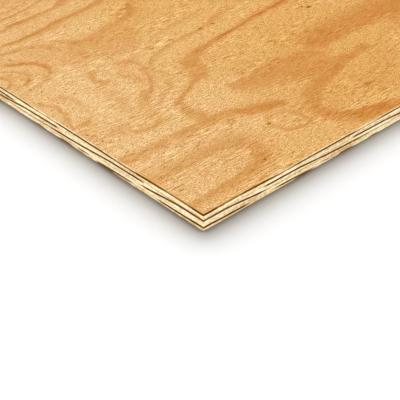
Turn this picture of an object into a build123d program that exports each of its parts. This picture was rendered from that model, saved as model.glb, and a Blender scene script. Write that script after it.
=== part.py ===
from build123d import *
import os

# Plywood sheet: five rotary-cut veneers, laid up crosswise, glued, trimmed and sanded.
# Millimetres. The sheet lies face up. The origin is the middle of its underside, +X runs
# along its length, which is the way the face grain runs, and +Z points up out of the face.

# Trimmed size, 8 ft by 4 ft
sheet_length = 2438.4
sheet_width = 1219.2

# Veneers from the back up. Together they make 18.26 mm, which is 23/32 in.
# The grain of the face, core and back runs along X, and that of the crossbands along Y.
back_thickness = 2.92
lower_crossband_thickness = 3.66
core_thickness = 4.02
upper_crossband_thickness = 5.65
face_thickness = 2.01

# Round on the arrises of the face and the back, rubbed down by sanding and handling
eased_arris = 0.3

# The lay-up, in the order in which the veneers go into the press
lay_up = [
    ("back_veneer", back_thickness),
    ("lower_crossband", lower_crossband_thickness),
    ("core_veneer", core_thickness),
    ("upper_crossband", upper_crossband_thickness),
    ("face_veneer", face_thickness),
]

os.makedirs("parts", exist_ok=True)

# Each veneer is whole, lies on the one before it, and is trimmed with it to the same outline.
underside = 0
for name, thickness in lay_up:
    with BuildPart() as veneer:
        with BuildSketch(Plane.XY.offset(underside)):
            Rectangle(sheet_length, sheet_width)
        extrude(amount=thickness)

        # Only the two outermost veneers meet the sanding belt.
        if name == "back_veneer":
            fillet(veneer.faces().sort_by(Axis.Z).first.edges(), radius=eased_arris)
        if name == "face_veneer":
            fillet(veneer.faces().sort_by(Axis.Z).last.edges(), radius=eased_arris)

    veneer.part.label = name
    export_step(veneer.part, f"parts/{name}.step")
    underside += thickness
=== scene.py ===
import math

import bpy
import numpy as np
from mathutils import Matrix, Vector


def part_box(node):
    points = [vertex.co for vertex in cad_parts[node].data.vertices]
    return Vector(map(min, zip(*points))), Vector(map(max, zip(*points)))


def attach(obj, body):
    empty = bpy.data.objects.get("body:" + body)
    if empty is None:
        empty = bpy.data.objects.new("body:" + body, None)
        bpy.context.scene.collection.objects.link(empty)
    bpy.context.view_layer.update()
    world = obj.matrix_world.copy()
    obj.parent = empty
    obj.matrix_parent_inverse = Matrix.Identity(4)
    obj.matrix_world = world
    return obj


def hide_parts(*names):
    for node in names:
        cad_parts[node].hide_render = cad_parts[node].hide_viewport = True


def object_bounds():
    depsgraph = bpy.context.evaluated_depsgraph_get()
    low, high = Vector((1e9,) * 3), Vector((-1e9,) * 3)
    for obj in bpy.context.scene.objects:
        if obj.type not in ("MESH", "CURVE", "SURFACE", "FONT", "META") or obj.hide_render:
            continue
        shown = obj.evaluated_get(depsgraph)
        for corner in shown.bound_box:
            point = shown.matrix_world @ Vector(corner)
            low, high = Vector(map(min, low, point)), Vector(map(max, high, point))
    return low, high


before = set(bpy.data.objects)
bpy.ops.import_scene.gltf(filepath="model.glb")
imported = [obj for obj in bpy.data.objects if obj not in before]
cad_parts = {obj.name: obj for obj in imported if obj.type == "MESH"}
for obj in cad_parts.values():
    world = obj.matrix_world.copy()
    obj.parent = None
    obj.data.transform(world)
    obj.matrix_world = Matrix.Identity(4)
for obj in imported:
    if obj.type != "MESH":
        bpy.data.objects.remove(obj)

# The plywood sheet's finish: five veneers whose glue lines wander and lap at the sawn edges,
# a sanded face with the wide figure of rotary-cut softwood, and a plainer back.
# Metres, in the frame's axes. Places on the sheet are also given as millimetres along and
# across the face from the near corner, the one at the lowest X and Y.

cad_box = [list(corner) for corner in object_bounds()]
half_length, half_width, thickness = cad_box[1]
MM = 0.001
BOTTOM = thickness / MM  # depth of the back below the face, mm
rng = np.random.default_rng(27)


# Noise

LATTICE = 256  # the noise repeats after this many waves
NOISE_LIFT = 1.6  # brings the noise up to about -1 to 1
LAYERS = 3
LAYER_GAIN = 0.45  # height of each layer over that of the coarser one
LAYER_SHIFT = (17.1, 5.3)  # keeps the layers from lining up, waves


def waves(x, y, seed):
    """Smooth noise with one wave to a unit: every whole-number point has a slope of random
    direction, and between four such points their slopes are blended with the curve
    6t^5 - 15t^4 + 10t^3."""
    angle = np.random.default_rng(seed).uniform(0, 2 * np.pi, (LATTICE, LATTICE))
    column, row = np.floor(x).astype(int), np.floor(y).astype(int)
    across, up = x - column, y - row

    def slope(i, j):
        turn = angle[(row + j) % LATTICE, (column + i) % LATTICE]
        return np.cos(turn) * (across - i) + np.sin(turn) * (up - j)

    ease_x = across ** 3 * (across * (across * 6 - 15) + 10)
    ease_y = up ** 3 * (up * (up * 6 - 15) + 10)
    lower = slope(0, 0) * (1 - ease_x) + slope(1, 0) * ease_x
    upper = slope(0, 1) * (1 - ease_x) + slope(1, 1) * ease_x
    return NOISE_LIFT * (lower * (1 - ease_y) + upper * ease_y)


def noise(x, y, size, seed, shift=(0, 0)):
    """Noise of about -1 to 1 whose waves are as long and as wide as size says, in mm. shift
    moves it, in waves."""
    return waves(x / size[0] + shift[0], y / size[1] + shift[1], seed)


def layered_noise(x, y, size, seed, shift=(0, 0)):
    """Noise with finer noise on it: each layer has twice the detail of the one before it."""
    x, y = x / size[0] + shift[0], y / size[1] + shift[1]
    total = 0
    for k in range(LAYERS):
        finer_x, finer_y = x * 2 ** k + LAYER_SHIFT[0] * k, y * 2 ** k + LAYER_SHIFT[1] * k
        total = total + LAYER_GAIN ** k * waves(finer_x, finer_y, seed + k)
    return total


def line_noise(along, size, seed, lane):
    """Noise along a line, with waves of size mm. Another lane gives another run of it."""
    return waves(along / size, np.full_like(along, lane), seed)


def mix(first, second, share):
    """first where share is 0, second where it is 1, and a mix in between."""
    return first + (second - first) * share


# Figure of the face

# A rotary lathe peels a log whose growth rings aren't quite round, so the veneer's surface is a
# map of ring heights, and the dark lines are its contours at whole numbers. Growth lines by the
# near corner: ring height, and points that the line runs through.
GROWTH_LINES = [
    (0, [(0, 58), (30, 60), (60, 62), (84, 60), (98, 53), (102, 44), (98, 35), (86, 28), (60, 22),
         (30, 21), (0, 20)]),
    (0, [(0, 115), (50, 114), (95, 117), (104, 126), (103, 137), (104, 150), (112, 161), (128, 168),
         (147, 177), (160, 186), (164, 200), (170, 216), (184, 231), (206, 240), (240, 246),
         (270, 252), (330, 264), (390, 273), (450, 282)]),
    (0, [(340, 104), (300, 94), (270, 85), (245, 76), (230, 66), (222, 54), (221, 42), (230, 29),
         (250, 23), (270, 16), (285, 9)]),
    (-1, [(347, 317), (312, 303), (285, 294), (256, 282), (225, 279), (200, 274), (175, 266),
          (152, 252), (140, 234), (125, 216), (108, 200), (92, 183), (80, 167), (82, 150),
          (62, 142), (44, 148), (40, 162)]),
    (-2, [(330, 337), (280, 322), (230, 311), (195, 303), (170, 284), (135, 268)]),
    (-2, [(33, 245), (36, 226), (30, 205), (20, 190)]),
    (-3, [(9, 249), (15, 232), (12, 215)]),
    (-3, [(28, 353), (50, 340), (60, 322), (54, 304)]),
    (-4, [(22, 338), (31, 322), (27, 305)]),
    (-5, [(12, 322)]),
    (-3, [(45, 382), (65, 379), (85, 367), (100, 358), (118, 350), (140, 352), (165, 362),
          (190, 367), (215, 374), (232, 392)]),
    (-4, [(55, 402), (80, 404), (105, 408), (130, 416), (160, 422), (190, 428), (225, 441)]),
    (-5, [(85, 443), (100, 448), (135, 453), (180, 468)]),
    (-6, [(92, 468), (115, 474), (140, 480), (165, 491)]),
    (-7, [(110, 486), (150, 499)]),
    (-8, [(125, 508)]),
]

# Heights between the lines: hollows, ridges and the slow slopes on which a dark band is wide
HEIGHTS_BETWEEN = [
    (-0.4, [(0, 40), (50, 41), (60, 128), (20, 140)]),
    (-0.25, [(82, 43)]),
    (0.22, [(0, 74), (60, 77), (110, 76), (124, 45), (118, 20), (60, 9), (0, 8)]),
    (0.5, [(0, 92), (60, 94), (120, 90), (140, 62), (140, 20), (90, -6), (0, -8), (178, 22), (150, 4)]),
    (0.55, [(170, 52), (185, 70), (152, 62)]),
    (0.2, [(0, 102), (50, 103), (100, 101), (118, 126), (206, 68), (230, 90), (262, 104),
           (203, 40), (212, 14), (240, 2), (214, 232), (250, 240), (300, 248), (370, 261)]),
    (0.07, [(130, 106), (158, 100), (185, 90), (182, 205), (192, 222)]),
    (0.28, [(130, 95), (158, 87), (142, 118), (172, 112), (200, 82), (112, 138), (113, 150), (124, 160)]),
    (-0.45, [(260, 52), (300, 60), (380, 80), (320, 30), (420, 100), (125, 190), (150, 215),
             (95, 150), (230, 262), (20, 165)]),
    (0.5, [(135, 145), (150, 165), (175, 180), (300, 225), (400, 240), (500, 250), (350, 118)]),
    (0.65, [(170, 140), (220, 130), (300, 150), (300, 190), (230, 200), (400, 160), (400, 200),
            (500, 160), (500, 200), (600, 180)]),
    (0.3, [(480, 120), (560, 120)]),
    (-0.65, [(300, 280), (340, 290)]),
    (-1.5, [(60, 158), (340, 318), (115, 235), (80, 215), (60, 190), (60, 230)]),
    (-2.3, [(70, 255), (80, 290), (45, 275)]),
    (-3.8, [(-5, 235)]),
    (-3.0, [(5, 285)]),
    (-3.5, [(44, 322), (150, 390), (200, 400), (100, 385), (30, 392)]),
    (-5.6, [(0, 322)]),
    (-2.8, [(120, 335), (150, 330), (170, 345), (70, 350), (210, 350)]),
    (-4.5, [(140, 435)]),
]
SPOTS = np.array([(x, y, ring) for ring, points in GROWTH_LINES + HEIGHTS_BETWEEN for x, y in points], float)
SPOT_REACH = (48.0, 26.0)  # how far a spot height carries along and across the grain, mm
SPOT_SLACK = 0.004  # lets the map pass a little beside a spot that its neighbours disagree with

# A small burl, which shows as a thin closed line: centre, half length, half width (mm), height
BURL = (171, 51, 19, 12.5, 0.95)

# The log away from these spots, and the even slope that takes its place near the corner
LOG_RISE = 4.2  # rings between the middle height of the log's long noise and a top
LOG_WARP = (60, 26)  # how far noise drags the rings along and across the grain, mm
WAVER, FINE_WAVER = 0.06, 0.03  # how far short noise and finer noise move them, rings
SLOPE_REACH = (620, 600)  # how far the slope rules along and across, mm
SLOPE_HEIGHT = 0.35  # its ring height beside the corner
SLOPE_START, SLOPE_WIDTH = 230, 400  # place across where it starts to fall, and width of the fall, mm
RING_WIDTH = 55  # width in which it falls by one ring, mm
SLOPE_LENGTH = 900  # the fall eases off over this length, mm
LEAST_FALL = 0.2  # share of the fall that stays


def nearness(x, y, reach):
    """1 near the corner and 0 well away from it: 1 / (1 + d^6), where d is the distance in
    reaches along and across."""
    return 1 / (1 + np.hypot(x / reach[0], y / reach[1]) ** 6)


def carry(along, across):
    """What a spot height still counts for at a distance: exp(-r) (1 + r + r^2 / 3), where r is
    the distance in reaches."""
    r = np.hypot(along / SPOT_REACH[0], across / SPOT_REACH[1])
    return np.exp(-r) * (1 + r + r * r / 3)


def log_shape(x, y):
    """Ring height without the spots: long noise, drawn out along the grain and warped, which
    gives way near the corner to an even slope."""
    warped_x = x + LOG_WARP[0] * noise(x, y, size=(300, 160), seed=91)
    warped_y = y + LOG_WARP[1] * noise(x, y, size=(340, 130), seed=92, shift=(9, 0))
    wild = LOG_RISE * layered_noise(warped_x, warped_y, size=(760, 190), seed=11, shift=(7.3, 2.1))
    fall = np.clip(y - SLOPE_START, 0, SLOPE_WIDTH) / RING_WIDTH
    slope = SLOPE_HEIGHT - fall * np.clip(1 - x / SLOPE_LENGTH, LEAST_FALL, 1)
    waver = WAVER * noise(x, y, size=(46, 16), seed=23)
    return mix(wild, slope, nearness(x, y, SLOPE_REACH)) + waver


def ring_height(x, y):
    """Ring height of the face: the log's shape plus, for each spot height, its weight times
    carry(), with the weights solved so that the map passes through every spot. The burl adds a
    flat-topped rise, 1 / (1 + d^10), where d is the distance in its half sizes."""
    spot_x, spot_y, spot_height = SPOTS.T
    apart = carry(spot_x[:, None] - spot_x, spot_y[:, None] - spot_y)
    lift = spot_height - log_shape(spot_x, spot_y)
    weights = np.linalg.solve(apart + SPOT_SLACK * np.eye(len(SPOTS)), lift)
    height = log_shape(x, y) + FINE_WAVER * noise(x, y, size=(14, 6), seed=24)
    for at_x, at_y, weight in zip(spot_x, spot_y, weights):
        height = height + weight * carry(x - at_x, y - at_y)
    burl_x, burl_y, half_long, half_wide, rise = BURL
    out = np.hypot((x - burl_x) / half_long, (y - burl_y) / half_wide)
    return height + rise / (1 + out ** 10)


# Bands of darker wood near the corner: strength, and the band's course as (x, y, half width).
# The side on the right hand along the course is crisp, and the side on the left fades. Below
# 0, the strength makes the wood paler.
DARK_BANDS = [
    # round the tongue of pale wood at the corner
    (0.36, [(-10, 68, 9), (10, 69, 9), (40, 70, 9), (70, 71, 10), (95, 70, 11), (108, 64, 11)]),
    (0.14, [(104, 66, 12), (111, 58, 13), (113, 46, 13), (108, 34, 12), (98, 27, 10)]),
    (0.38, [(102, 28, 10), (92, 23, 9), (60, 17, 7), (30, 16, 6), (-10, 15, 6)]),
    (0.11, [(-10, 42, 16), (90, 42, 16)]),
    # beside that tongue, and on to the middle of the stretch
    (0.38, [(144, 109, 7), (125, 110, 8), (100, 110, 7), (60, 110, 7), (20, 110, 8), (-10, 111, 8)]),
    (0.58, [(147, 103, 7), (155, 99, 10), (168, 94, 10), (184, 90, 8), (192, 84, 5)]),
    (0.30, [(192, 86, 4), (192, 72, 4), (189, 60, 3)]),
    (0.42, [(113, 124, 8), (113, 129, 10), (111, 136, 9), (112, 148, 6), (113, 160, 4.5)]),
    (0.42, [(112, 159, 3.5), (124, 166, 3.5), (145, 177, 3), (165, 187, 4), (172, 192, 6)]),
    (0.42, [(174, 188, 8), (180, 200, 13), (182, 212, 14), (190, 224, 12), (203, 232, 7), (217, 236, 5)]),
    (0.50, [(212, 235, 5), (230, 239, 5), (248, 243, 4), (265, 249, 3), (289, 255, 3), (314, 261, 3.5),
            (343, 267, 4), (372, 270, 4), (400, 275, 4)]),
    # the swirl
    (0.42, [(158, 78, 2.6), (152, 70, 2.6), (151, 60, 2.4), (155, 48, 2.6), (165, 41, 2.8), (180, 39, 3),
            (188, 45, 3), (189, 58, 2.6), (184, 70, 2.4)]),
    (0.30, [(172, 60, 1.6), (173, 52, 1.6), (180, 50, 1.6)]),
    (-0.32, [(142, 71, 7), (152, 76, 5)]),
    (0.34, [(162, 80, 3), (170, 74, 3), (180, 75, 2.4)]),
    # round the pale tongue on the right
    (0.43, [(290, -4, 9), (265, 9, 10), (240, 14, 11), (222, 21, 11), (211, 32, 10), (207, 45, 9),
            (208, 56, 9), (216, 67, 10), (230, 78, 10), (248, 87, 10), (268, 94, 9), (300, 101, 8)]),
    (0.44, [(280, 4, 10), (250, 11, 11), (226, 18, 9)]),
    (0.42, [(279, 51, 4), (290, 53, 4.4), (301, 52, 4)]),
    (0.20, [(240, 58, 24), (330, 58, 36), (360, 80, 32)]),
    # the big dark field on the right, with a pale island in it
    (0.54, [(300, 136, 20), (262, 140, 26), (230, 139, 22), (205, 141, 17), (186, 143, 11)]),
    (0.45, [(330, 108, 9), (300, 111, 12), (270, 114, 13), (250, 118, 11)]),
    (0.28, [(260, 118, 12), (240, 118, 10), (215, 121, 10), (190, 124, 10)]),
    (0.42, [(322, 114, 7), (345, 114, 8), (366, 114, 6)]),
    (0.64, [(334, 163, 21), (355, 167, 23), (400, 169, 23), (450, 170, 24), (540, 172, 25)]),
    (0.14, [(210, 172, 10), (250, 172, 16), (300, 172, 22)]),
    (0.40, [(540, 150, 14), (480, 146, 12), (446, 140, 9)]),
    (-0.30, [(290, 131, 2.6), (305, 133, 2.6)]),
    (0.07, [(340, 133, 10), (360, 134, 12), (410, 134, 13), (470, 132, 12)]),
    (0.08, [(330, 216, 24), (450, 216, 26)]),
    # curls in the paler wood on the left
    (0.44, [(44, 154, 2.8), (44, 144, 3), (50, 140, 3), (64, 139, 3.4), (84, 140, 4)]),
    (0.30, [(82, 141, 4), (76, 152, 5), (80, 166, 5), (84, 178, 4)]),
    (0.44, [(80, 177, 4), (90, 185, 5), (99, 194, 6), (106, 202, 4)]),
    (0.46, [(107, 195, 2.2), (116, 203, 2.4), (123, 212, 2.4), (133, 232, 2.4), (141, 250, 2.6)]),
    (0.42, [(101, 172, 2.2), (110, 178, 2.4), (120, 185, 2.4), (130, 190, 2.6), (137, 200, 4)]),
    (0.32, [(118, 226, 6), (117, 243, 5)]),
    (0.30, [(151, 210, 3), (147, 226, 3), (142, 240, 3)]),
    (0.38, [(18, 187, 4), (26, 194, 4)]),
    (0.42, [(2, 190, 3), (9, 204, 3.4), (14, 216, 3), (16, 234, 2.8), (7, 254, 2.8)]),
    (0.30, [(34, 208, 3), (36, 222, 3), (38, 236, 3), (33, 250, 5)]),
    (0.30, [(0, 168, 3), (8, 155, 3), (24, 156, 3), (42, 158, 3)]),
    (0.22, [(62, 166, 8), (74, 226, 9)]),
    # further along the end
    (0.46, [(90, 246, 3), (80, 253, 3.4), (82, 262, 4), (90, 275, 4)]),
    (0.42, [(124, 273, 3.6), (138, 270, 4), (143, 258, 4)]),
    (0.40, [(23, 299, 3), (29, 307, 3), (28, 318, 3.4), (19, 330, 3.4), (8, 335, 3.4)]),
    (0.26, [(2, 306, 5), (10, 308, 5)]),
    (0.38, [(46, 302, 3.6), (58, 309, 4), (61, 325, 5), (50, 340, 4.6), (38, 347, 4), (30, 354, 4)]),
    (0.20, [(43, 318, 5), (41, 330, 5)]),
    (0.28, [(95, 316, 15), (130, 320, 24), (160, 322, 22), (186, 330, 16)]),
    (0.28, [(130, 300, 7), (150, 296, 8), (168, 300, 9), (182, 308, 7)]),
    (0.44, [(43, 383, 3), (68, 381, 4), (85, 375, 5), (97, 363, 6)]),
    (0.46, [(107, 371, 4), (115, 361, 5), (123, 351, 5)]),
    (0.20, [(122, 350, 4), (153, 346, 5), (169, 359, 6), (186, 363, 7), (205, 369, 7)]),
    (0.28, [(205, 368, 6), (222, 378, 9), (232, 388, 8), (240, 400, 6)]),
    (0.26, [(64, 400, 4), (99, 406, 4), (124, 412, 4), (153, 421, 5), (186, 426, 5),
            (215, 430, 5), (228, 440, 5)]),
    (0.30, [(90, 446, 3.4), (106, 449, 3)]),
    (-0.14, [(118, 384, 14), (150, 378, 14), (190, 392, 14)]),
    # paler wood between the curls
    (-0.16, [(52, 205, 18), (60, 260, 18)]),
    (-0.16, [(97, 214, 9), (102, 240, 9)]),
]

# Rosy patches near the corner, in the same terms
ROSY_BANDS = [
    (0.8, [(-4, 58, 5), (12, 58, 4)]),
    (0.6, [(22, 15, 6), (50, 15, 4)]),
    (0.6, [(66, 20, 6), (74, 22, 4)]),
    (0.5, [(-4, 109, 6), (12, 109, 5)]),
    (0.5, [(104, 103, 4), (132, 101, 5)]),
    (0.9, [(112, 160, 4), (126, 167, 4)]),
    (0.8, [(160, 184, 5), (178, 196, 6), (186, 206, 5)]),
    (1.0, [(218, 236, 6), (240, 241, 5), (256, 245, 4)]),
    (0.6, [(210, 36, 7), (216, 44, 6)]),
    (0.9, [(26, 252, 6), (36, 247, 4)]),
    (0.5, [(82, 262, 4), (90, 272, 4)]),
    (0.8, [(124, 268, 6), (136, 272, 4)]),
    (0.5, [(112, 222, 7), (122, 228, 5)]),
    (0.5, [(66, 232, 7), (82, 246, 7)]),
    (0.9, [(265, 286, 5), (300, 298, 6), (346, 316, 7)]),
    (0.8, [(145, 68, 5), (152, 77, 4)]),
    (0.8, [(190, 428, 5), (218, 436, 6)]),
    (0.7, [(158, 488, 6), (170, 490, 5)]),
]

# Where the growth lines stand out firmly, in the same terms
FIRM_LINES = [
    (0.18, [(50, 402, 12), (105, 409, 12), (160, 424, 12), (230, 442, 12)]),
    (0.30, [(85, 446, 12), (140, 455, 12), (200, 474, 12)]),
    (0.30, [(95, 470, 8), (125, 480, 8), (175, 500, 8)]),
    (0.40, [(258, 250, 8), (330, 264, 9), (400, 275, 9), (450, 284, 9)]),
    (0.25, [(150, 252, 9), (200, 273, 9), (256, 283, 9), (300, 288, 9)]),
    (0.25, [(0, 320, 40), (30, 320, 40)]),
]

BAND_DRAG = (3, 1.2)  # how far noise drags the edges of the bands along and across, mm
TOUCHING = 0.001  # keeps a place on the course itself from dividing by nothing, mm
FIGURE_REACH = (560, 520)  # how far the figure given above counts, along and across, mm
CLOUDS_NEAR, CLOUDS_FAR = 0.06, 0.22  # how dark the clouds are near the corner and far from it
MOTTLE = 0.06  # how dark the smaller clouds are
FIRM_NEAR, FIRM_FAR = 0.16, 0.6  # how firm the growth lines are near the corner and far from it
FIRM_PATCHES = 0.12  # how much that varies
FAINTEST = 0.1  # firmness that no line falls below
PALE_LENGTH = 240  # length over which the pale wood at the corner turns orange, mm
PALE_FAR = 0.45  # how pale the wood is far from the corner
PALE_PATCHES_NEAR, PALE_PATCHES_FAR = 0.25, 0.75  # how much the paleness varies
ROSY_FROM, ROSY_PATCHES = 0.35, 0.6  # noise at which a rosy patch starts, and its strength


def beside(x, y, course):
    """Where places lie beside a course: how far from it, over its half width there, and on
    which side, from 0 on its right to 1 on its left."""
    nearest = np.full(x.shape, np.inf)
    leftness = np.zeros_like(x)
    for (x0, y0, half0), (x1, y1, half1) in zip(course, course[1:]):
        run_x, run_y = x1 - x0, y1 - y0
        from_x, from_y = x - x0, y - y0
        t = np.clip((from_x * run_x + from_y * run_y) / (run_x ** 2 + run_y ** 2), 0, 1)
        apart = np.hypot(from_x - t * run_x, from_y - t * run_y)
        turned = (run_x * from_y - run_y * from_x) / (math.hypot(run_x, run_y) * (apart + TOUCHING))
        ratio = apart / (half0 + t * (half1 - half0))
        leftness = np.where(ratio < nearest, 0.5 + 0.5 * turned, leftness)
        nearest = np.minimum(nearest, ratio)
    return nearest, leftness


def along_bands(x, y, bands):
    """Each band is strength * exp(-f), where f is d^6 on the crisp side and (0.8 d)^2 on the
    fading one, and d is the distance from the course over the half width there. The bands
    together are the cube root of the sum of their cubes, so that the stronger one rules where
    two meet, less the pale ones. Noise drags the edges along the grain."""
    warped_x = x + BAND_DRAG[0] * noise(x, y, size=(34, 7), seed=45)
    warped_y = y + BAND_DRAG[1] * noise(x, y, size=(30, 11), seed=46)
    cubes, pale = np.zeros_like(x), np.zeros_like(x)
    for strength, course in bands:
        distance, fading = beside(warped_x, warped_y, course)
        shown = np.exp(-fading * (0.8 * distance) ** 2 - (1 - fading) * distance ** 6)
        cubes = cubes + (max(strength, 0) * shown) ** 3
        pale = pale + max(-strength, 0) * shown
    return np.cbrt(cubes) - pale


def farness(x, y):
    """0 on the stretch near the corner whose figure is given above, 1 well away from it."""
    return 1 - nearness(x, y, FIGURE_REACH)


def dark_tone(x, y):
    """Darker wood: the bands near the corner, and long clouds, mostly over the rest of the
    sheet."""
    clouds = mix(CLOUDS_NEAR, CLOUDS_FAR, farness(x, y)) * layered_noise(x, y, size=(230, 80), seed=40)
    mottle = MOTTLE * layered_noise(x, y, size=(60, 24), seed=43)
    return along_bands(x, y, DARK_BANDS) + clouds + mottle


def firmness(x, y):
    """How dark the growth lines are, from 0 to 1."""
    patches = layered_noise(x, y, size=(150, 60), seed=49)
    near = FIRM_NEAR + along_bands(x, y, FIRM_LINES)
    return np.clip(mix(near, FIRM_FAR, farness(x, y)) + FIRM_PATCHES * patches, FAINTEST, 1)


def paleness(x, y):
    """1 where the wood is pale, 0 where it is orange: pale near the end at the corner, and in
    wandering patches elsewhere."""
    far = farness(x, y)
    patches = mix(PALE_PATCHES_NEAR, PALE_PATCHES_FAR, far) * layered_noise(x, y, size=(260, 150), seed=52)
    return np.clip(mix(1 - (x - y / 4) / PALE_LENGTH, PALE_FAR, far) + patches, 0, 1)


def rosiness(x, y):
    """0 to 1: how rosy the wood is."""
    patches = np.clip(layered_noise(x, y, size=(90, 34), seed=57) - ROSY_FROM, 0, 1)
    return np.clip(along_bands(x, y, ROSY_BANDS) + ROSY_PATCHES * patches, 0, 1)


# Sawn edges

# A place on them is the distance along the edge from the near corner and the depth below the
# face, both in millimetres. The end and the side carry the same lines, a little closer together
# on the side.
SIDE_STRETCH = 1.05
EDGE_LENGTH = 2 * (half_length * SIDE_STRETCH + half_width) / MM  # place of the far corner, mm
FACE, FIRST, SECOND, THIRD, FOURTH, BACK = range(6)  # the veneers' surfaces, the middle four glued

# Glue lines: the CAD node over each, the seeds of its depth and its darkness, and its course on
# the first stretch of edge as (distance along, depth, darkness). Laps give the second its darkness.
GLUE_LINES = {
    FIRST: ("face_veneer", 71, 31, [
        (0, 1.5, 1.5), (12, 1.5, 1.4), (18, 1.3, 0.7), (45, 1.2, 0.55), (60, 1.5, 1.1), (75, 1.7, 1.4),
        (86, 2.0, 1.0), (100, 2.3, 0.5), (118, 2.4, 0.55), (128, 2.3, 0.9), (142, 2.1, 1), (176, 2.1, 1.1),
        (208, 2.1, 1.1), (216, 2.15, 0.4), (250, 2.2, 0.35), (262, 1.9, 0.8), (280, 1.85, 1), (330, 1.8, 1)]),
    SECOND: ("upper_crossband", 72, None, [
        (0, 7.4), (25, 7.6), (60, 7.2), (76, 7.0), (120, 7.5), (137, 7.6), (170, 7.2), (208, 6.8),
        (235, 7.6), (250, 7.8), (272, 8.3), (300, 7.2), (330, 7.2)]),
    THIRD: ("core_veneer", 73, 36, [
        (0, 11.3, 0.15), (80, 11.4, 0.15), (95, 11.4, 0.35), (150, 11.5, 0.35), (175, 11.6, 0.1),
        (200, 11.7, 0.6), (218, 12.0, 1), (245, 12.4, 0.9), (270, 12.7, 0.5), (300, 12.9, 0.4),
        (330, 12.9, 0.2)]),
    FOURTH: ("lower_crossband", 74, 34, [
        (0, 14.7, 1), (10, 14.7, 1.2), (20, 15.1, 1), (50, 15.8, 1), (60, 15.9, 0.2), (92, 15.5, 0.15),
        (100, 15.6, 0.6), (112, 15.9, 0.9), (125, 16.3, 1), (145, 16.7, 0.5), (152, 15.8, 0.1),
        (172, 15.8, 0.5), (185, 15.8, 0.15), (330, 15.4, 0.1)]),
}
KNOWN_EDGE = 330  # where the lines above end
FADE_OVER = 120  # the stretch on which they give way to the CAD depths and to noise
LINE_WAVE = 0.5  # how far a glue line strays from its CAD depth, mm
DARKNESS, SWING, LEAST_DARKNESS = 0.5, 0.7, 0.1  # of a line past there: usual, how it varies, least
THIRD_SHARE, THIRD_SWING = 0.8, 0.5  # what shows of the third line's darkness, and how that varies
LINE_HALF = 1.0  # half the height of a glue line and its stain, mm
THIN_LINE_HALF = 0.6  # the third line's


def past_known(along):
    """0 on the first stretch of edge, and 1 past the stretch on which its lines give way."""
    return np.clip((along - KNOWN_EDGE) / FADE_OVER, 0, 1)


def depth_of(surface, along):
    """Depth of one of the six surfaces. A glue line lies as given on the first stretch, then at
    the underside of the CAD node over it, with a slow wave."""
    if surface in (FACE, BACK):
        return np.full_like(along, 0.0 if surface == FACE else BOTTOM)
    node, seed, _, course = GLUE_LINES[surface]
    known = np.interp(along, [point[0] for point in course], [point[1] for point in course])
    ply_bottom = (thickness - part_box(node)[0].z) / MM
    wave = LINE_WAVE * line_noise(along, size=180, seed=seed, lane=seed / 7)
    return mix(known, ply_bottom + wave, past_known(along))


def strength_of(surface, along):
    """Darkness of a glue line: as given on the first stretch, then noise."""
    _, _, seed, course = GLUE_LINES[surface]
    known = np.interp(along, [point[0] for point in course], [point[2] for point in course])
    varying = DARKNESS + SWING * line_noise(along, size=70, seed=seed, lane=seed / 5)
    return mix(known, np.clip(varying, LEAST_DARKNESS, 1), past_known(along))


# The core is laid from strips that lap. A lap's glue line appears on the second line, dips to
# the third and ends there: the three places along the edge, and how late the dip comes.
LAPS = [(-20, 22, 80, 2.0), (76, 131, 225, 1.0), (208, 272, 380, 1.0), (290, 352, 440, 1.2)]
LAP_SPACING, LAP_BEFORE, LAP_AFTER = (105, 150), (45, 75), (60, 130)  # from dip to dip, before and past it
LATENESS = (1, 2)
while LAPS[-1][2] < EDGE_LENGTH:
    dips = LAPS[-1][1] + rng.uniform(*LAP_SPACING)
    before, after = rng.uniform(*LAP_BEFORE), rng.uniform(*LAP_AFTER)
    LAPS.append((dips - before, dips, dips + after, rng.uniform(*LATENESS)))
LAP_FADE_IN, LAP_FADE_OUT, LAP_TAIL = 8, 14, 6  # lengths of its faint ends, and how far it runs on, mm


def on_line(distance, half=LINE_HALF):
    """1 on the line, falling as exp(-|d / half|^3) to each side."""
    return np.exp(-np.abs(distance / half) ** 3)


def lap_lines(along, depth):
    """Glue lines of the laps. Past its dip a line falls as 1 - (1 - t^late)^2, where t runs
    from 0 at the dip to 1 at its end."""
    third = depth_of(THIRD, along)
    dark = np.zeros_like(depth)
    for appears, dips, ends, late in LAPS:
        top = depth_of(SECOND, np.minimum(along, dips))
        t = np.clip((along - dips) / (ends - dips), 0, 1)
        fall = 1 - (1 - t ** late) ** 2
        begun = np.clip((along - appears) / LAP_FADE_IN, 0, 1)
        left = np.clip((ends + LAP_TAIL - along) / LAP_FADE_OUT, 0, 1)
        dark = np.maximum(dark, begun * left * on_line(depth - top - (third - top) * fall))
    return dark


# Small chips in the lower arris, painted dark brown for the shade in them: place along, half
# length, height, depth (mm), darkness
SHADED_CHIPS = [(60, 22, 0.9, 0.1, 0.3), (136, 16, 2.0, 0.25, 0.7), (200, 15, 2.0, 0.25, 0.65),
           (246, 11, 1.6, 0.15, 0.45)]
MORE_SHADED_CHIPS, LAST_SHADED_CHIP = 16, 3600  # how many lie past the known edge, and up to which place
LEAST_SHADED_CHIP, GREATEST_SHADED_CHIP = (5, 0.7, 0.1, 0.3), (20, 2.0, 0.3, 0.8)
for place in rng.uniform(KNOWN_EDGE + FADE_OVER, LAST_SHADED_CHIP, MORE_SHADED_CHIPS):
    SHADED_CHIPS.append((place, *rng.uniform(LEAST_SHADED_CHIP, GREATEST_SHADED_CHIP)))
CHIP_BLUR = 0.6  # height over which its top fades, mm
CHIP_RAG = 0.3  # how far its top strays, as a share of its height
BLUNTNESS = 3  # how abrupt its ends are
CHIP_SHADE_AS_STAIN, CHIP_SHADE_AS_TAN = 0.75, 1.6  # how much of the painted shade shows as dark stain and how much as tan wood


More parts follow.
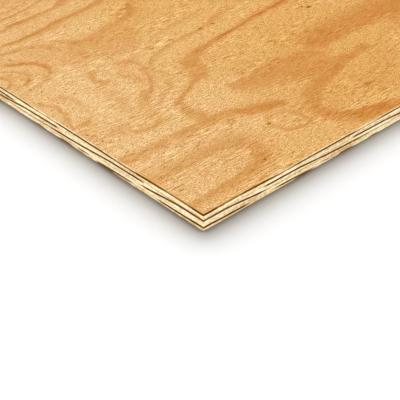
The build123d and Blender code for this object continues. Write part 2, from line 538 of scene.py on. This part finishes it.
def chip_shade_and_depth(along, depth):
    """How dark the painted shade in the chips of the lower arris is (0 to 1), and how far the edge
    is rubbed back there, mm. A chip is an arch with a ragged top and blunt ends."""
    painted_shade, rubbed = np.zeros_like(depth), np.zeros_like(depth)
    for place, half, rise, deep, darkness in SHADED_CHIPS:
        arch = np.clip(1 - ((along - place) / half) ** 2, 0, 1)
        ragged = rise * (arch + CHIP_RAG * line_noise(along, size=3, seed=83, lane=place))
        share = np.clip((depth - BOTTOM + ragged) / CHIP_BLUR, 0, 1) * np.clip(arch * BLUNTNESS, 0, 1)
        # painted shade: the hollow of each chip is drawn dark
        painted_shade = np.maximum(painted_shade, darkness * share)
        rubbed = np.maximum(rubbed, deep * share * arch)
    return painted_shade, rubbed


def glue_and_chip_darkness(along, depth):
    """0 on clean wood to 1 at the darkest, at any place on the edges: the glue lines, and the
    painted shade in the chips of the lower arris.
    """
    first, fourth = [strength_of(surface, along) * on_line(depth - depth_of(surface, along))
                     for surface in (FIRST, FOURTH)]
    patchy = THIRD_SHARE + THIRD_SWING * line_noise(along, size=2.5, seed=33, lane=3.3)
    third = strength_of(THIRD, along) * patchy
    third = third * on_line(depth - depth_of(THIRD, along), THIN_LINE_HALF)
    # painted shade in the chips of the lower arris, counted as dark stain
    chip_shade = CHIP_SHADE_AS_STAIN * chip_shade_and_depth(along, depth)[0]
    return np.maximum.reduce([first, third, fourth, chip_shade, lap_lines(along, depth)])


SAW_WAVE = 0.05  # half the height of the saw's waves, mm
GROOVE = 0.2  # depth of the groove along a glue line, mm
TAN_CORNER, TAN_FADE = 92, 14  # length of tan edge beside the near corner, and of its end, mm
TAN_BLUR, TAN_ON_LINE = 0.3, 0.8  # height over which it fades at the first line, mm, and its share there
TAN_FROM, TAN_MOST = 0.35, 0.25  # noise at which a tan patch starts, and the most that it gives


def edge_inset(along, depth):
    """How far the sawn edge lies inside the trimmed outline, mm: a shallow groove at each glue
    line, the saw's fine waves, and the chips of the lower arris."""
    saw = SAW_WAVE + SAW_WAVE * noise(along, depth, size=(3.1, 0.9), seed=81)
    return saw + GROOVE * glue_and_chip_darkness(along, depth) + chip_shade_and_depth(along, depth)[1]


def tan_share(along, depth):
    """1 where the edge is as tan as the face: the face veneer's edge beside the near corner, the
    painted shade in the chips of the lower arris, and patches elsewhere."""
    over_first_line = np.clip((depth_of(FIRST, along) - depth) / TAN_BLUR + TAN_ON_LINE, 0, 1)
    corner = np.clip((TAN_CORNER - along) / TAN_FADE, 0, 1) * over_first_line
    patches = np.clip(layered_noise(along, depth, size=(30, 4), seed=85) - TAN_FROM, 0, TAN_MOST)
    # painted shade in the chips of the lower arris, counted as tan wood
    chip_shade = np.clip(CHIP_SHADE_AS_TAN * chip_shade_and_depth(along, depth)[0], 0, 1)
    return np.maximum.reduce([corner, patches, chip_shade])


# Meshes

ARRIS = 0.3  # round on the arrises of the face and back, mm
ARRIS_ROWS = np.array([0, 0.03, 0.09, 0.18, 0.3])  # depths of the wall rows that follow the round, mm
ROW_HEIGHT = 0.34  # of the other wall rows, mm
LEAST_ROWS = 4
LIP = 10 * MM  # width of the hidden border where a veneer's wandering surface comes back to flat
GRID_GROWTH, GRID_WIDEST = 0.0088, 10.5  # growth of the grid's steps to the mm, and the widest one, mm

# Strips of the UV square, from bottom to top, as shares of its height
WALLS = (0, 0.08)  # the edges of the face or back veneer
HIDDEN = (0.085, 0.105)  # its hidden surface
FIGURED = (0.11, 1)  # its surface that shows
INNER_WALLS = (0, 0.9)  # the edges of an inner veneer
INNER_UPPER = (0.91, 0.95)  # its hidden surfaces
INNER_LOWER = (0.96, 1)
WALL_MARGIN = 0.04  # share of a side's row in a strip that stays empty above it and below it


def graded(half, first):
    """Grid places from -half to half, m. The steps start at first, in mm, and grow with the
    distance from the near corner until they reach the widest."""
    length = 2 * half / MM
    steps = round(math.log(GRID_WIDEST / first) / GRID_GROWTH)
    near = first / GRID_GROWTH * (np.exp(GRID_GROWTH * np.arange(steps + 1)) - 1)
    far = np.linspace(near[-1], length, round((length - near[-1]) / GRID_WIDEST) + 1)
    return np.concatenate([near, far[1:]]) * MM - half


def rim(grid):
    """The outermost values of a grid, anticlockwise round the sheet from the near corner."""
    return np.concatenate([grid[0], grid[1:, -1], grid[-1, -2::-1], grid[-2:0:-1, 0]])


def cells(grid):
    """The four corner values of every cell of a grid, anticlockwise."""
    return np.stack([grid[:-1, :-1], grid[:-1, 1:], grid[1:, 1:], grid[1:, :-1]], -1).reshape(-1, 4)


def clipped(x, y, inset):
    """Rim points moved inwards: each coordinate is clipped to the outline less the inset."""
    reach_x, reach_y = half_length - inset, half_width - inset
    return np.clip(x, -reach_x, reach_x), np.clip(y, -reach_y, reach_y)


def flat_map(x, y, strip):
    """UV places of points on the face, back or a hidden surface: the plan view, fitted to a
    strip."""
    u = (x + half_length) / (2 * half_length)
    v = mix(*strip, (y + half_width) / (2 * half_width))
    return u, v


def wall_map(rim_x, rim_y, shares, strip):
    """UV places of the edge's cells. Each of the four sides is a row of its own across the
    strip, and shares are the heights of the cells' corners in it, from the top."""
    run = np.hypot(np.diff(rim_x, append=rim_x[0]), np.diff(rim_y, append=rim_y[0]))
    ends = np.cumsum(run)
    starts = ends - run
    side_runs = 2 * np.array([half_length, half_width, half_length, half_width])
    side_ends = np.cumsum(side_runs)
    side = np.clip(np.searchsorted(side_ends, (starts + ends) / 2), 0, 3)
    u = np.stack([starts, ends, ends, starts], -1) - (side_ends - side_runs)[side][:, None]
    u = np.clip(u / side_runs[side][:, None], 0, 1)
    upper, lower = shares[:-1, None] + 0 * side, shares[1:, None] + 0 * side
    up_row = mix(1 - WALL_MARGIN, WALL_MARGIN, np.stack([lower, lower, upper, upper], -1))
    v = mix(*strip, (side[:, None] + up_row) / 4)
    return np.stack([np.broadcast_to(u, v.shape), v], -1).reshape(-1, 4, 2)


def new_object(name, data):
    """Puts an object into the scene."""
    made = bpy.data.objects.new(name, data)
    bpy.context.scene.collection.objects.link(made)
    return made


class Veneer:
    """Gathers the points, faces and values of one veneer's mesh."""

    def __init__(self):
        self.points = []
        self.count = 0
        self.faces = []
        self.places = []
        self.finishes = []
        self.values = {key: [] for key in ("ring", "firm", "tone", "pale", "rosy", "glue_and_chip_shade", "tan")}

    def add_points(self, x, y, z, **values):
        """Adds points, with their values for the finishes, and returns their numbers."""
        x, y, z = np.broadcast_arrays(x, y, z)
        self.points.append(np.stack([x, y, z], -1).reshape(-1, 3))
        for name, listed in self.values.items():
            listed.append(np.broadcast_to(values.get(name, 0.0), x.shape).ravel())
        numbers = self.count + np.arange(x.size).reshape(x.shape)
        self.count += x.size
        return numbers

    def add_ring(self, x, y, z):
        """Adds a ring of points, of which those in one place are one: (numbers, x, y)."""
        places, order = np.unique(np.stack([x, y]), axis=1, return_inverse=True)
        return self.add_points(*places, z)[order.ravel()], x, y

    def add_faces(self, faces, places, finish, flip=False):
        """Adds faces with their UV places and their finish: 0 for figured, 1 for sawn."""
        if flip:
            faces, places = faces[:, ::-1], places[:, ::-1]
        self.faces += faces.tolist()
        self.places.append(places.reshape(-1, 2))
        self.finishes += [finish] * len(faces)

    def add_wall(self, wall, rim_x, rim_y, strip, depth):
        """The edge: a grid of points whose last column joins the first."""
        closed = np.concatenate([wall, wall[:, :1]], 1)[::-1]
        shares = (depth[:, 0] - depth[0, 0]) / (depth[-1, 0] - depth[0, 0])
        places = wall_map(rim_x, rim_y, shares, strip)
        places = places.reshape(-1, len(rim_x), 4, 2)[::-1].reshape(-1, 4, 2)
        self.add_faces(cells(closed), places, 1)

    def add_band(self, outer, inner, strip, up):
        """Joins two rings of points, each given as numbers, x and y. Where two neighbours of the
        inner ring are one point, the cell is a triangle, or nothing if the outer two are too."""
        rings = [np.stack([outer_row, inner_row]) for outer_row, inner_row in zip(outer, inner)]
        numbers, x, y = [np.concatenate([ring, ring[:, :1]], 1) for ring in rings]
        faces = cells(numbers)
        places = np.stack([cells(along) for along in flat_map(x, y, strip)], -1)
        open_outside = faces[:, 0] != faces[:, 1]
        open_inside = faces[:, 2] != faces[:, 3]
        quads, triangles = open_outside & open_inside, open_outside & ~open_inside
        self.add_faces(faces[quads], places[quads], 1, flip=not up)
        self.add_faces(faces[triangles, :3], places[triangles, :3], 1, flip=not up)

    def add_hidden(self, edge, rim_x, rim_y, z, strip, up):
        """Hidden surface: from the edge inwards to a flat border, and on to the middle line of
        the sheet, where the two long sides meet."""
        lip_x, lip_y = clipped(rim_x, rim_y, LIP)
        middle_reach = half_length - half_width
        lip = self.add_ring(lip_x, lip_y, z)
        middle = self.add_ring(np.clip(lip_x, -middle_reach, middle_reach), np.zeros_like(lip_y), z)
        self.add_band(edge, lip, strip, up)
        self.add_band(lip, middle, strip, up)

    def add_figured(self, edge_numbers, grid_x, grid_y, z, up, figure):
        """Surface that shows: a grid whose outermost points are the edge's, with the figure's
        values and its relief."""
        inner_x, inner_y = grid_x[1:-1, 1:-1], grid_y[1:-1, 1:-1]
        found = figure(inner_x, inner_y)
        relief = found["relief"] * MM
        numbers = np.empty(grid_x.shape, int)
        numbers[1:-1, 1:-1] = self.add_points(inner_x, inner_y, z - relief if up else z + relief, **found)
        numbers.ravel()[rim(np.arange(grid_x.size).reshape(grid_x.shape))] = edge_numbers
        places = np.stack([cells(along) for along in flat_map(grid_x, grid_y, FIGURED)], -1)
        self.add_faces(cells(numbers), places, 0, flip=not up)

    def make(self, name, node, materials):
        """Makes the mesh object, puts it on the root body, and hides the CAD node that it stands for."""
        mesh = bpy.data.meshes.new(name)
        mesh.from_pydata(np.concatenate(self.points), [], self.faces)
        finishes = np.array(self.finishes, np.int32)
        mesh.polygons.foreach_set("material_index", finishes)
        mesh.polygons.foreach_set("use_smooth", finishes == 0)
        places = mesh.uv_layers.new(name="OFBake")
        places.data.foreach_set("uv", np.concatenate(self.places).astype(np.float32).ravel())
        for key, listed in self.values.items():
            values = mesh.attributes.new(key, "FLOAT", "POINT")
            values.data.foreach_set("value", np.concatenate(listed).astype(np.float32))
        for material in materials:
            mesh.materials.append(material)
        mesh.update()
        piece = new_object(name, mesh)
        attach(piece, "root")
        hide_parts(node)


def wall_depths(surface, along):
    """Depths of the edge's points under a surface, a row of them for each level: even rows down
    to the next surface, with the rows of a rounded arris at the face or the back."""
    upper, lower = depth_of(surface, along), depth_of(surface + 1, along)
    rows = max(LEAST_ROWS, round(float(np.mean(lower - upper)) / ROW_HEIGHT))
    shares = np.linspace(0, 1, rows + 1)[:, None]
    rounded = ARRIS_ROWS[:-1, None] + 0 * upper
    if surface == FACE:
        return np.concatenate([rounded, mix(ARRIS, lower, shares)])
    if surface + 1 == BACK:
        return np.concatenate([mix(upper, BOTTOM - ARRIS, shares), BOTTOM - rounded[::-1]])
    return mix(upper, lower, shares)


def make_veneer(surface, name, node, slot, step, edge, finish=None, figure=None):
    """The veneer under one of the surfaces, as a closed mesh on a grid of a first step (mm). Its
    edge has columns round the outline and rows from the upper surface to the lower, set in by
    edge_inset() and rounded at the arrises. edge is the material there. finish and figure are
    the material and the function of the side that shows."""
    veneer = Veneer()
    grid_x, grid_y = np.meshgrid(graded(half_length, step), graded(half_width, step))
    rim_x, rim_y = rim(grid_x), rim(grid_y)
    along = ((rim_x + half_length) * SIDE_STRETCH + rim_y + half_width) / MM
    depth = wall_depths(surface, along)
    along = np.broadcast_to(along, depth.shape)
    from_arris = np.clip(ARRIS - np.minimum(depth, BOTTOM - depth), 0, ARRIS)
    inset = edge_inset(along, depth) + ARRIS - np.sqrt(ARRIS ** 2 - from_arris ** 2)
    wall_x, wall_y = clipped(rim_x, rim_y, inset * MM)
    # glue lines together with painted shade in the chips of the lower arris, and tan wood
    values = {"glue_and_chip_shade": glue_and_chip_darkness(along, depth), "tan": tan_share(along, depth)}
    if figure:
        values.update(figure(wall_x, wall_y))
    wall = veneer.add_points(wall_x, wall_y, thickness - depth * MM, **values)
    veneer.add_wall(wall, rim_x, rim_y, WALLS if figure else INNER_WALLS, depth)

    bottom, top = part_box(node)
    for row, z, up, inner_strip in ((0, top.z, True, INNER_UPPER), (-1, bottom.z, False, INNER_LOWER)):
        if figure and up == (surface == FACE):
            veneer.add_figured(wall[row], grid_x, grid_y, z, up, figure)
        else:
            rim_edge = wall[row], wall_x[row], wall_y[row]
            veneer.add_hidden(rim_edge, rim_x, rim_y, z, HIDDEN if figure else inner_strip, up)
    veneer.make(name, node, [finish or edge, edge])


# Finishes

def add(tree, kind, inputs=None, output=0, **settings):
    """Adds a node, gives it its settings, and links or sets its inputs. Returns an output."""
    made = tree.nodes.new(kind)
    for key, value in settings.items():
        setattr(made, key, value)
    for key, value in (inputs or {}).items():
        if isinstance(value, bpy.types.NodeSocket):
            tree.links.new(value, made.inputs[key])
        else:
            made.inputs[key].default_value = value
    return made.outputs[output]


def reckon(tree, operation, a, b=0.0, clamp=False):
    """Result of an operation such as ADD or MAXIMUM on two values, held to 0 to 1 by clamp."""
    return add(tree, "ShaderNodeMath", {0: a, 1: b}, operation=operation, use_clamp=clamp)


def reckon_vector(tree, operation, a, b=(0.0, 0.0, 0.0), output="Vector"):
    """The same on two vectors."""
    return add(tree, "ShaderNodeVectorMath", {0: a, 1: b}, output, operation=operation)


def remap(tree, value, before, after):
    """A value moved from the range before to the range after, and held inside it."""
    ends = {"From Min": before[0], "From Max": before[1], "To Min": after[0], "To Max": after[1]}
    return add(tree, "ShaderNodeMapRange", {"Value": value, **ends})


def weigh(tree, *terms):
    """Sum of (value, weight) pairs."""
    summed = 0.0
    for value, weight in terms:
        summed = add(tree, "ShaderNodeMath", {0: value, 1: weight, 2: summed}, operation="MULTIPLY_ADD")
    return summed


def blend(tree, share, first, second, mode="MIX"):
    """Colour from first to second by share or, in the modes ADD and SUBTRACT, first plus or less
    share times second."""
    return add(tree, "ShaderNodeMix", {0: share, 6: first, 7: second}, output=2, data_type="RGBA",
               blend_type=mode, clamp_factor=mode == "MIX", clamp_result=mode != "MIX")


def ramp(tree, value, stops):
    """A value from 0 to 1 turned into grey by the stops of a ramp."""
    made = tree.nodes.new("ShaderNodeValToRGB")
    made.color_ramp.interpolation = "EASE"
    for _ in stops[2:]:
        made.color_ramp.elements.new(0.5)
    for element, (at, grey) in zip(made.color_ramp.elements, stops):
        element.position = at
        element.color = (grey, grey, grey, 1)
    tree.links.new(value, made.inputs[0])
    return made.outputs[0]


def grain_noise(tree, place, stretch, detail=2.0):
    """Noise on Object coordinates, with as many waves to the metre on each axis as stretch says,
    moved to be about -1 to 1."""
    stretched = reckon_vector(tree, "MULTIPLY", place, stretch)
    value = add(tree, "ShaderNodeTexNoise", {"Vector": stretched, "Scale": 1.0, "Detail": detail})
    return reckon(tree, "MULTIPLY", reckon(tree, "SUBTRACT", value, 0.5), 4.0)


def given(tree, name):
    """Value that the mesh holds under a name."""
    return add(tree, "ShaderNodeAttribute", output="Fac", attribute_name=name)


def shade(r, g, b):
    """A colour as a paint chart gives it, 0 to 255 for each of red, green and blue."""
    part = np.array([r, g, b]) / 255
    linear = np.where(part <= 0.04045, part / 12.92, ((part + 0.055) / 1.055) ** 2.4)
    return (*linear.tolist(), 1.0)


def wood_material(name, specular):
    """A material with a dull shader: (material, tree, shader, Object coordinates)."""
    material = bpy.data.materials.new(name)
    material.use_nodes = True
    tree = material.node_tree
    shader = tree.nodes["Principled BSDF"]
    shader.inputs["Specular IOR Level"].default_value = specular
    return material, tree, shader, add(tree, "ShaderNodeTexCoord", output="Object")


def add_bump(tree, shader, height, distance, strength):
    """Gives a shader fine relief of a distance in metres."""
    bump = add(tree, "ShaderNodeBump", {"Height": height, "Distance": distance, "Strength": strength})
    tree.links.new(bump, shader.inputs["Normal"])


# Darkness of the wood as the ring height rises from one whole number to the next, and strength
# of the stain as the value of the glue lines and the painted chip shade rises
LATEWOOD = [(0.0, 1.0), (0.1, 0.95), (0.24, 0.45), (0.4, 0.1), (0.55, 0.0), (0.94, 0.0),
            (0.985, 0.5), (1.0, 1.0)]
GLUE_AND_CHIP_STAIN = [(0.0, 0.0), (0.08, 0.0), (0.45, 0.85), (0.85, 1.0)]
BASE_DARKNESS = 0.18  # of plain wood
SAWN_DARKNESS = 0.42  # the same on a sawn edge
ROSY_SHARE = 0.3  # how far a rosy place turns to the rosy colour
TAN_WOOD = shade(212, 150, 84)  # of the painted shade in the lower arris's chips, and of the face veneer's edge
THIN_STAIN, FULL_STAIN = shade(200, 138, 30), shade(90, 51, 0)  # of the glue and the painted chip shade, where faint and where dark
FIBRE_SHEEN = (1.08, 1.06, 0.68, 1.0)  # what a paler fibre adds to the wood, linear
BLUSH = (0.02, 0.0, 0.01, 1.0)  # what a pinker patch adds
SPECK_LOSS = (0.55, 0.42, 0.24, 1.0)  # what a dark speck takes away

# Dark specks near the corner: place, half length and half width (mm), darkness
SPECKS = [
    (7, 170, 3.2, 1.4, 1), (10.5, 151.5, 1.5, 1.3, 1), (24, 142.5, 1.6, 1.2, 0.6), (95, 148, 2, 2, 0.45),
    (89, 177.5, 2, 1, 0.5), (55, 199, 5, 0.8, 0.45), (26, 237.5, 1.6, 1.4, 0.6), (256, 26, 2, 1, 0.6),
    (407, 236, 5, 3, 1), (401, 242, 3.6, 2.2, 0.8), (258, 280, 4, 2.6, 0.6), (280, 281, 4, 2.6, 0.6),
    (151, 66, 3, 2.4, 0.6), (262, 261, 3, 1.5, 0.4), (166, 184, 2, 1, 0.5), (24, 313, 3, 2, 0.4),
    (291, 52.5, 12, 4.5, 0.2),
]
RARE_SPECKS = (5.0, 9.0, 0.0)  # how many rare ones in a metre along and across
RARE_SIZE = (0.004, 0.014)  # where a rare one starts to fade and where it ends, in their spacings
RARE_DARKNESS = 0.6


def speck_darkness(tree, place):
    """Darkness of the specks near the corner, each 1 - d^2 where d is the distance from its
    middle in its half sizes, and of rare ones all over the sheet."""
    spaced = reckon_vector(tree, "MULTIPLY", place, RARE_SPECKS)
    near = add(tree, "ShaderNodeTexVoronoi", {"Vector": spaced, "Scale": 1.0}, voronoi_dimensions="2D")
    dark = remap(tree, near, RARE_SIZE, (RARE_DARKNESS, 0.0))
    for x, y, half_long, half_wide, darkness in SPECKS:
        middle = (x * MM - half_length, y * MM - half_width, 0.0)
        apart = reckon_vector(tree, "SUBTRACT", place, middle)
        out = reckon_vector(tree, "MULTIPLY", apart, (1 / (half_long * MM), 1 / (half_wide * MM), 0.0))
        squared = reckon_vector(tree, "DOT_PRODUCT", out, out, output="Value")
        dark = reckon(tree, "MAXIMUM", dark, remap(tree, squared, (0.0, 1.0), (darkness, 0.0)))
    return dark


def growth_lines(tree, place):
    """Darkness of the growth lines: dark just above a whole ring height, and fading as it rises."""
    waver = grain_noise(tree, place, (55, 170, 1))
    ring = weigh(tree, (given(tree, "ring"), 1.0), (waver, 0.035))
    late = ramp(tree, reckon(tree, "FRACT", ring), LATEWOOD)
    return reckon(tree, "MULTIPLY", late, given(tree, "firm"))


def wood_colour(tree, dark, orange, orange_dark, pale, pale_dark, rosy):
    """Colour of the wood for its darkness, between orange and pale, and rosier in places."""
    paleness_here = given(tree, "pale")
    light_wood = blend(tree, paleness_here, orange, pale)
    dark_wood = blend(tree, paleness_here, orange_dark, pale_dark)
    wood = blend(tree, dark, light_wood, dark_wood)
    return blend(tree, reckon(tree, "MULTIPLY", given(tree, "rosy"), ROSY_SHARE), wood, rosy)


def figured_finish(name, specks=False, **colours):
    """Sanded softwood: growth lines and darker bands under dots, short streaks and fibre, which
    are stronger in combed patches and weaker on dark wood. colours go to wood_colour()."""
    material, tree, shader, place = wood_material(name, specular=0.05)
    late = growth_lines(tree, place)
    smudge = grain_noise(tree, place, (50, 150, 1))
    dark = weigh(tree, (late, 1.0), (given(tree, "tone"), 0.9), (smudge, 0.035))
    dark = reckon(tree, "ADD", dark, BASE_DARKNESS, clamp=True)

    dots = grain_noise(tree, place, (660, 960, 1), detail=1.0)
    streaks = grain_noise(tree, place, (60, 560, 1), detail=0.0)
    fibre = grain_noise(tree, place, (160, 1000, 1), detail=1.0)
    combed = remap(tree, grain_noise(tree, place, (12, 30, 1), detail=0.0), (-0.5, 0.7), (0.03, 0.17))
    fine = weigh(tree, (dots, 0.33), (streaks, combed), (fibre, 0.19))
    fine = reckon(tree, "MULTIPLY", fine, remap(tree, dark, (0.1, 0.7), (1.0, 0.4)))

    wood = wood_colour(tree, dark, **colours)
    wood = blend(tree, fine, wood, FIBRE_SHEEN, "ADD")
    wood = blend(tree, grain_noise(tree, place, (24, 45, 1)), wood, BLUSH, "ADD")
    if specks:
        wood = blend(tree, speck_darkness(tree, place), wood, SPECK_LOSS, "SUBTRACT")
    tree.links.new(wood, shader.inputs["Base Color"])
    tree.links.new(remap(tree, late, (0.0, 1.0), (0.72, 0.58)), shader.inputs["Roughness"])
    height = weigh(tree, (late, 0.3), (dots, 0.35), (streaks, 0.15), (fibre, 0.15))
    add_bump(tree, shader, height, distance=0.00012, strength=0.5)
    return material


def sawn_finish(name, light, shaded, flecks):
    """Sawn veneer edges: cream wood with streaks along the edge and dots of cut fibre, dark
    where the glue lines and the painted shade in the chips of the lower arris say so, and tan
    where the tan value does. flecks gives how many dots stand in a metre along the edge."""
    material, tree, shader, place = wood_material(name, specular=0.0)
    streaks = grain_noise(tree, place, (16, 16, 560))
    dots = grain_noise(tree, place, (flecks, flecks, 700))
    cloud = grain_noise(tree, place, (25, 25, 150))
    worn = weigh(tree, (streaks, 0.6), (dots, 0.55), (cloud, 0.15))
    wood = blend(tree, reckon(tree, "ADD", worn, SAWN_DARKNESS, clamp=True), light, shaded)
    wood = blend(tree, grain_noise(tree, place, (45, 45, 140)), wood, BLUSH, "ADD")
    wood = blend(tree, given(tree, "tan"), wood, TAN_WOOD)

    # glue lines, and painted shade in the chips of the lower arris
    glue_and_chip_shade = given(tree, "glue_and_chip_shade")
    ragged = reckon(tree, "MULTIPLY", glue_and_chip_shade, grain_noise(tree, place, (150, 150, 500)))
    glue_and_chip_shade = ramp(tree, weigh(tree, (glue_and_chip_shade, 1.0), (ragged, 0.35)), GLUE_AND_CHIP_STAIN)
    stain = blend(tree, glue_and_chip_shade, THIN_STAIN, FULL_STAIN)
    tree.links.new(blend(tree, glue_and_chip_shade, wood, stain), shader.inputs["Base Color"])
    shader.inputs["Roughness"].default_value = 0.8
    height = weigh(tree, (streaks, 0.3), (dots, 0.3), (glue_and_chip_shade, -0.5))
    add_bump(tree, shader, height, distance=0.0002, strength=0.7)
    return material


# Sheet

FACE_RELIEF, BACK_RELIEF = 0.1, 0.12  # how far the softer wood lies under the latewood, mm
LATE_SHARE = 0.2  # share of a ring over which the latewood's height fades
BACK_WARP = 20  # how far noise drags the back's rings across the grain, mm
BACK_RISE = 4.6  # rings between the middle height of the back's noise and a top
BACK_FIRM = 0.62  # how firm its growth lines are
BACK_TONE, BACK_CLOUDS = 0.1, 0.2  # its darkness, and how much that varies
BACK_PALE, BACK_PATCHES = 0.4, 0.6  # its paleness, and how much that varies


def relief(ring, depth):
    """How far the wood lies below the top of the latewood, mm: depth (1 - exp(-f / 0.2)), where
    f is how far the ring height is above a whole number."""
    return depth * (1 - np.exp(-(ring - np.floor(ring)) / LATE_SHARE))


def face_figure(x, y):
    """Figure of the face: the values for its finish, and its relief."""
    from_x, from_y = (x + half_length) / MM, (y + half_width) / MM
    ring = ring_height(from_x, from_y)
    return {
        "ring": ring,
        "firm": firmness(from_x, from_y),
        "tone": dark_tone(from_x, from_y),
        "pale": paleness(from_x, from_y),
        "rosy": rosiness(from_x, from_y),
        "relief": relief(ring, FACE_RELIEF),
    }


def back_figure(x, y):
    """Figure of the back: another stretch of the same kind of log, seen plainly."""
    from_x, from_y = (x + half_length) / MM, (y + half_width) / MM
    warped_y = from_y + BACK_WARP * noise(from_x, from_y, size=(310, 150), seed=95)
    ring = BACK_RISE * layered_noise(from_x, warped_y, size=(820, 170), seed=61, shift=(3.7, 8.2))
    clouds = layered_noise(from_x, from_y, size=(260, 90), seed=66)
    patches = layered_noise(from_x, from_y, size=(300, 160), seed=68)
    return {
        "ring": ring,
        "firm": np.full_like(ring, BACK_FIRM),
        "tone": BACK_TONE + BACK_CLOUDS * clouds,
        "pale": np.clip(BACK_PALE + BACK_PATCHES * patches, 0, 1),
        "relief": relief(ring, BACK_RELIEF),
    }


face_wood = figured_finish(
    "sanded_face", specks=True, orange=shade(229, 180, 106), orange_dark=shade(199, 122, 46),
    pale=shade(236, 194, 137), pale_dark=shade(202, 134, 50), rosy=shade(222, 146, 86))
back_wood = figured_finish(
    "sanded_back", orange=shade(227, 180, 118), orange_dark=shade(184, 122, 62),
    pale=shade(232, 191, 136), pale_dark=shade(194, 138, 84), rosy=shade(210, 146, 104))
long_grain_edge = sawn_finish("sawn_long_grain", shade(255, 244, 205), shade(208, 168, 114), flecks=230)
cross_grain_edge = sawn_finish("sawn_cross_grain", shade(255, 242, 202), shade(202, 162, 108), flecks=380)

PLIES = [
    ("face_ply", "face_veneer", "face_veneer", 1.6, long_grain_edge, face_wood, face_figure),
    ("upper_cross_ply", "upper_crossband", "crossband", 1.6, cross_grain_edge),
    ("core_ply", "core_veneer", "core_veneer", 1.6, long_grain_edge),
    ("lower_cross_ply", "lower_crossband", "crossband", 1.6, cross_grain_edge),
    ("back_ply", "back_veneer", "back_veneer", 5, long_grain_edge, back_wood, back_figure),
]
for surface, ply in enumerate(PLIES):
    make_veneer(surface, *ply)


# Stage

# A plain pale floor under a white surround, a soft light from behind and above, and a low fill
# on the side of the camera that lights the sawn edges
WHITE, BLACK = (1.0, 1.0, 1.0, 1.0), (0.0, 0.0, 0.0, 1.0)
FLOOR_PAINT = (0.9, 0.9, 0.9, 1.0)  # what its light on the sheet comes from
FLOOR_SEEN = (1.03, 1.03, 1.03, 1.0)  # what the camera sees, white once lit
FLOOR_EDGE = (1.7, 3.2)  # from the sheet's middle, where the floor turns into the surround, m
FLOOR_GAP = 0.2 * MM  # how far it lies under the sheet
SHADOW_WIDTHS = (0.07, 0.006)  # of the wide shadow along the sheet and the narrow one, m


def seen_directly(tree):
    """1 for what the camera sees, also in gloss and through glass, and 0 for what only lights."""
    path = tree.nodes.new("ShaderNodeLightPath")
    seen = reckon(tree, "MAXIMUM", path.outputs["Is Camera Ray"], path.outputs["Is Glossy Ray"])
    return reckon(tree, "MAXIMUM", seen, path.outputs["Is Transmission Ray"])


def floor_material():
    """Pale matt floor, white outside the sheet's shadow. Close to the sheet the camera sees the
    shadow deepened, and far from it the floor turns into the white surround."""
    material = bpy.data.materials.new("floor_paint")
    material.use_nodes = True
    tree = material.node_tree
    tree.nodes.remove(tree.nodes["Principled BSDF"])
    place = add(tree, "ShaderNodeTexCoord", output="Object")
    far = remap(tree, reckon_vector(tree, "LENGTH", place, output="Value"), FLOOR_EDGE, (0.0, 1.0))
    seen = seen_directly(tree)
    wide, narrow = [add(tree, "ShaderNodeAmbientOcclusion", {"Distance": width}, output="AO", samples=8)
                    for width in SHADOW_WIDTHS]
    shown = blend(tree, reckon(tree, "MULTIPLY", wide, narrow), BLACK, FLOOR_SEEN)
    matt = add(tree, "ShaderNodeBsdfDiffuse", {"Color": blend(tree, seen, FLOOR_PAINT, shown)})
    white = add(tree, "ShaderNodeEmission", {"Color": WHITE, "Strength": 1.0})
    mixed = add(tree, "ShaderNodeMixShader", {0: reckon(tree, "MULTIPLY", far, seen), 1: matt, 2: white})
    tree.links.new(mixed, tree.nodes["Material Output"].inputs["Surface"])
    return material


def make_floor(size):
    """A square floor just under the sheet, from -size to size."""
    mesh = bpy.data.meshes.new("floor")
    corners = [(-size, -size, 0), (size, -size, 0), (size, size, 0), (-size, size, 0)]
    mesh.from_pydata(corners, [], [(0, 1, 2, 3)])
    mesh.materials.append(floor_material())
    floor = new_object("floor", mesh)
    floor.location.z = -FLOOR_GAP


def distant_light(name, strength, heading, elevation, width):
    """A light from far away, so that the whole sheet gets the same, without a glare on it:
    heading is the side that it stands on, in degrees from +X towards +Y, and width is how wide
    it looks, in degrees."""
    light = bpy.data.lights.new(name, "SUN")
    light.energy = strength
    light.angle = math.radians(width)
    holder = new_object(name, light)
    holder.rotation_euler = (math.radians(90 - elevation), 0, math.radians(heading + 90))
    holder.visible_glossy = False


def surround(lit):
    """World light of strength lit, which the camera and the reflections see as white."""
    world = bpy.data.worlds.new("surround")
    bpy.context.scene.world = world
    world.use_nodes = True
    tree = world.node_tree
    background = tree.nodes["Background"]
    background.inputs["Color"].default_value = WHITE
    tree.links.new(remap(tree, seen_directly(tree), (0.0, 1.0), (lit, 1.0)), background.inputs["Strength"])


def make_camera(from_corner, heading, tilt, lens):
    """The photograph's camera: its place from the near corner, its heading in degrees from +Y
    towards +X, its tilt down and its lens."""
    data = bpy.data.cameras.new("camera")
    data.lens = lens
    holder = new_object("camera", data)
    holder.location = (-half_length + from_corner[0], -half_width + from_corner[1], from_corner[2])
    holder.rotation_euler = (math.radians(90 - tilt), 0, math.radians(-heading))
    bpy.context.scene.camera = holder


make_floor(size=12)
surround(lit=0.35)
distant_light("key", strength=2.9, heading=50, elevation=35, width=60)
distant_light("fill", strength=2.45, heading=225, elevation=12, width=24)
make_camera(from_corner=(-0.3814, -0.4046, 0.4258), heading=43.015, tilt=35.254, lens=74.13)
bpy.context.scene.view_settings.view_transform = "Standard"
